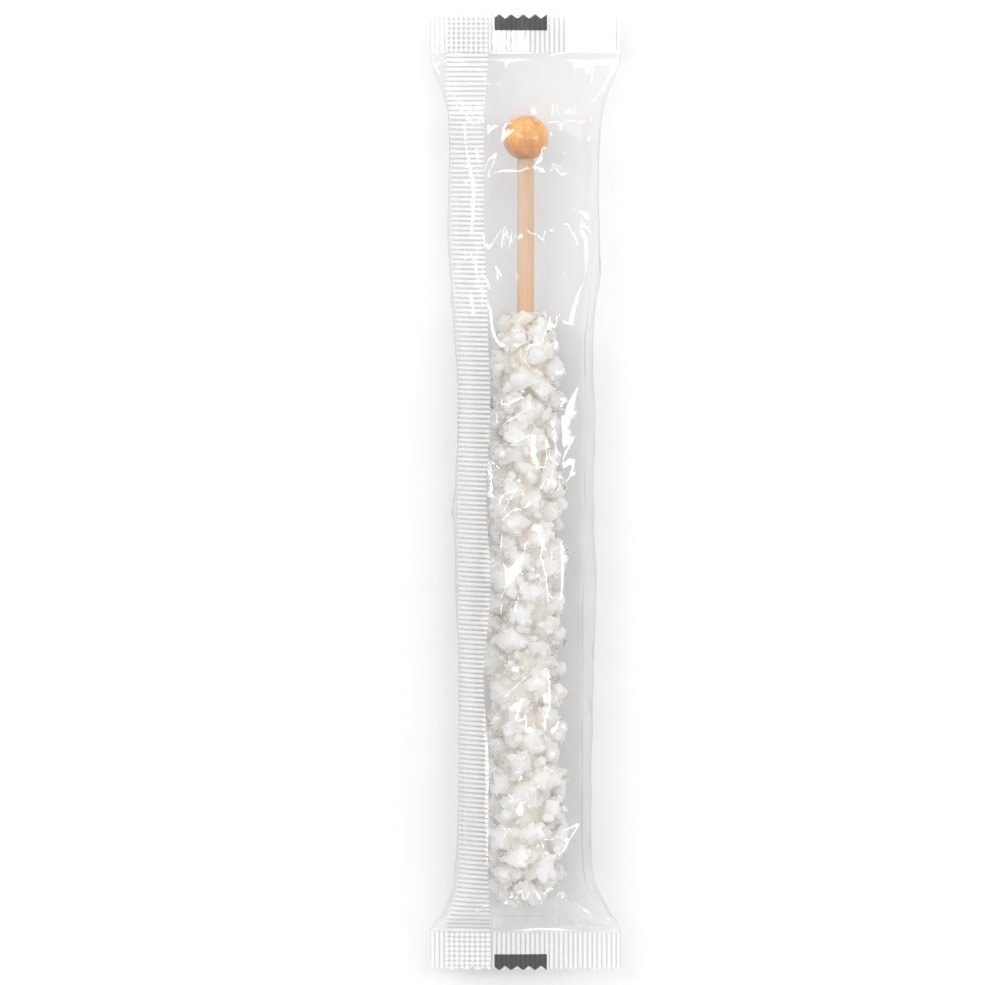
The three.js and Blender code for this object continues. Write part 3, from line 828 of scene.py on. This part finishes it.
def film_mesh():
    """The sheet, with both fin layers at its long edges and its coordinates kept as a UV map."""
    width = FILM_GIRTH + 2 * FIN_WIDTH
    u = np.linspace(0, width, int(width / GRID_ROUND) + 1)
    v = np.linspace(-FILM_END, FILM_END, int(2 * FILM_END / GRID_ALONG) + 1)
    uu, vv = np.meshgrid(u, v)
    edge = FIN_BASE - FIN_WIDTH
    upper = uu < FIN_WIDTH
    lower = uu > width - FIN_WIDTH
    along = np.where(upper, edge + uu, uu + edge)
    along = np.where(lower, edge + (width - uu), along)
    along = np.where(along > FILM_GIRTH / 2, along - FILM_GIRTH, along)
    ease = np.clip((uu - FIN_WIDTH) / FIN_EASE, 0, 1)
    lift = np.where(upper, 2 * FIN_LIFT, 2 * FIN_LIFT * (1 - ease))
    lift = np.where(lower, FIN_LIFT, lift)
    tooth = TOOTH_DEPTH * triangle_wave(uu / TOOTH_PITCH)
    squeeze = np.clip((np.abs(vv) - SEAL_START) / (FILM_END - SEAL_START), 0, 1)
    y = vv - np.sign(vv) * squeeze * tooth
    points = film_points(along, y, lift, uu)
    index = np.arange(uu.size).reshape(uu.shape)
    faces = np.stack([index[:-1, :-1], index[:-1, 1:], index[1:, 1:], index[1:, :-1]], axis=-1)
    mesh = bpy.data.meshes.new("film_wrapper")
    mesh.from_pydata(points.reshape(-1, 3).tolist(), [], faces.reshape(-1, 4).tolist())
    mesh.update()
    layer = mesh.uv_layers.new(name="sheet")
    corner = np.empty(len(mesh.loops), dtype=np.int32)
    mesh.loops.foreach_get("vertex_index", corner)
    flat = np.stack([uu.ravel(), y.ravel() + FILM_END], axis=-1) / MM / SHEET_UNITS
    layer.data.foreach_set("uv", flat[corner].ravel())
    mesh.shade_smooth()
    return mesh


def math_node(material, kind, *values):
    """The output of a math node; each value is a number or another node's output."""
    node = material.node_tree.nodes.new("ShaderNodeMath")
    node.operation = kind
    for slot, value in zip(node.inputs, values):
        if isinstance(value, bpy.types.NodeSocket):
            material.node_tree.links.new(value, slot)
        else:
            slot.default_value = value
    return node.outputs[0]


def sealed_masks(material):
    """Heights of the ribs that the sealing jaws pressed into the fin and the ends, from 0 to half a pitch,
    with masks of the grooves between them, where shade is painted, and of the printed marks."""
    nodes, links = material.node_tree.nodes, material.node_tree.links
    sheet = nodes.new("ShaderNodeUVMap")
    sheet.uv_map = "sheet"
    split = nodes.new("ShaderNodeSeparateXYZ")
    links.new(sheet.outputs["UV"], split.inputs["Vector"])
    across = math_node(material, "MULTIPLY", split.outputs["X"], SHEET_UNITS[0])
    along = math_node(material, "MULTIPLY_ADD", split.outputs["Y"], SHEET_UNITS[1], -SHEET_UNITS[1] / 2)
    from_end = math_node(material, "ABSOLUTE", along)
    one_edge = math_node(material, "LESS_THAN", across, FIN_WIDTH / MM)
    other_edge = math_node(material, "GREATER_THAN", across, (FIN_WIDTH + FILM_GIRTH) / MM)
    fin = math_node(material, "MAXIMUM", one_edge, other_edge)
    crimp = math_node(material, "GREATER_THAN", from_end, SEAL_START / MM)
    ribs = shaded_grooves = 0.0
    for place, sealed in ((along, fin), (across, crimp)):
        wave = math_node(material, "PINGPONG", place, RIB_PITCH / 2)
        ribs = math_node(material, "MULTIPLY_ADD", wave, sealed, ribs)
        groove = math_node(material, "LESS_THAN", wave, GROOVE_HALF)
        shaded_grooves = math_node(material, "MAXIMUM", math_node(material, "MULTIPLY", groove, sealed), shaded_grooves)
    from_mark = math_node(material, "ABSOLUTE", math_node(material, "SUBTRACT", across, MARK_MIDDLE))
    beside = math_node(material, "LESS_THAN", from_mark, MARK_WIDTH / 2)
    ink = math_node(material, "MULTIPLY", beside, math_node(material, "GREATER_THAN", from_end, MARK_START))
    return ribs, shaded_grooves, ink


def clear_film():
    """Clear plastic film: see-through, mirror-bright where a fold turns to the light, hazy where
    it is sealed, with the printer's dark register mark at each cut end."""
    material = bpy.data.materials.new("clear_film")
    material.use_nodes = True
    nodes, links = material.node_tree.nodes, material.node_tree.links
    nodes.remove(nodes["Principled BSDF"])
    ribs, shaded_grooves, ink = sealed_masks(material)
    place = nodes.new("ShaderNodeTexCoord")
    crinkle = nodes.new("ShaderNodeTexNoise")
    crinkle.inputs["Scale"].default_value = 420.0
    crinkle.inputs["Detail"].default_value = 2.0
    links.new(place.outputs["Object"], crinkle.inputs["Vector"])
    relief = nodes.new("ShaderNodeBump")
    relief.inputs["Distance"].default_value = 0.2 * MM
    height = math_node(material, "MULTIPLY_ADD", crinkle.outputs["Fac"], CRINKLE_HEIGHT, ribs)
    links.new(height, relief.inputs["Height"])
    # Painted shade: the film is tinted grey in the grooves between the sealed ribs
    tint = nodes.new("ShaderNodeMix")
    tint.data_type = "RGBA"
    tint.inputs["A"].default_value = (0.992, 0.992, 0.994, 1.0)
    tint.inputs["B"].default_value = (0.85, 0.85, 0.855, 1.0)
    links.new(shaded_grooves, tint.inputs["Factor"])
    through = nodes.new("ShaderNodeBsdfTransparent")
    links.new(tint.outputs["Result"], through.inputs["Color"])
    gloss = nodes.new("ShaderNodeBsdfGlossy")
    gloss.inputs["Roughness"].default_value = 0.05
    links.new(relief.outputs["Normal"], gloss.inputs["Normal"])
    facing = nodes.new("ShaderNodeNewGeometry")
    bend = nodes.new("ShaderNodeMix")
    bend.inputs["A"].default_value = FILM_INDEX
    bend.inputs["B"].default_value = 1 / FILM_INDEX
    links.new(facing.outputs["Backfacing"], bend.inputs["Factor"])
    fresnel = nodes.new("ShaderNodeFresnel")
    links.new(bend.outputs["Result"], fresnel.inputs["IOR"])
    links.new(relief.outputs["Normal"], fresnel.inputs["Normal"])
    haze = nodes.new("ShaderNodeBsdfDiffuse")
    haze.inputs["Color"].default_value = (0.93, 0.93, 0.94, 1.0)
    print_ink = nodes.new("ShaderNodeBsdfDiffuse")
    print_ink.inputs["Color"].default_value = (0.045, 0.045, 0.048, 1.0)
    shine = math_node(material, "MULTIPLY", fresnel.outputs["Fac"], TWO_FACES)
    shine.node.use_clamp = True
    haziness = math_node(material, "MULTIPLY_ADD", ribs, RIB_HAZE, CLEAR_HAZE)
    inking = math_node(material, "MULTIPLY", ink, INK_COVER)
    surface = through.outputs[0]
    for share, added in ((shine, gloss), (haziness, haze), (inking, print_ink)):
        layer = nodes.new("ShaderNodeMixShader")
        links.new(share, layer.inputs["Fac"])
        links.new(surface, layer.inputs[1])
        links.new(added.outputs[0], layer.inputs[2])
        surface = layer.outputs[0]
    links.new(surface, nodes["Material Output"].inputs["Surface"])
    return material


add_piece("film_wrapper", film_mesh(), clear_film(), "wrapper")
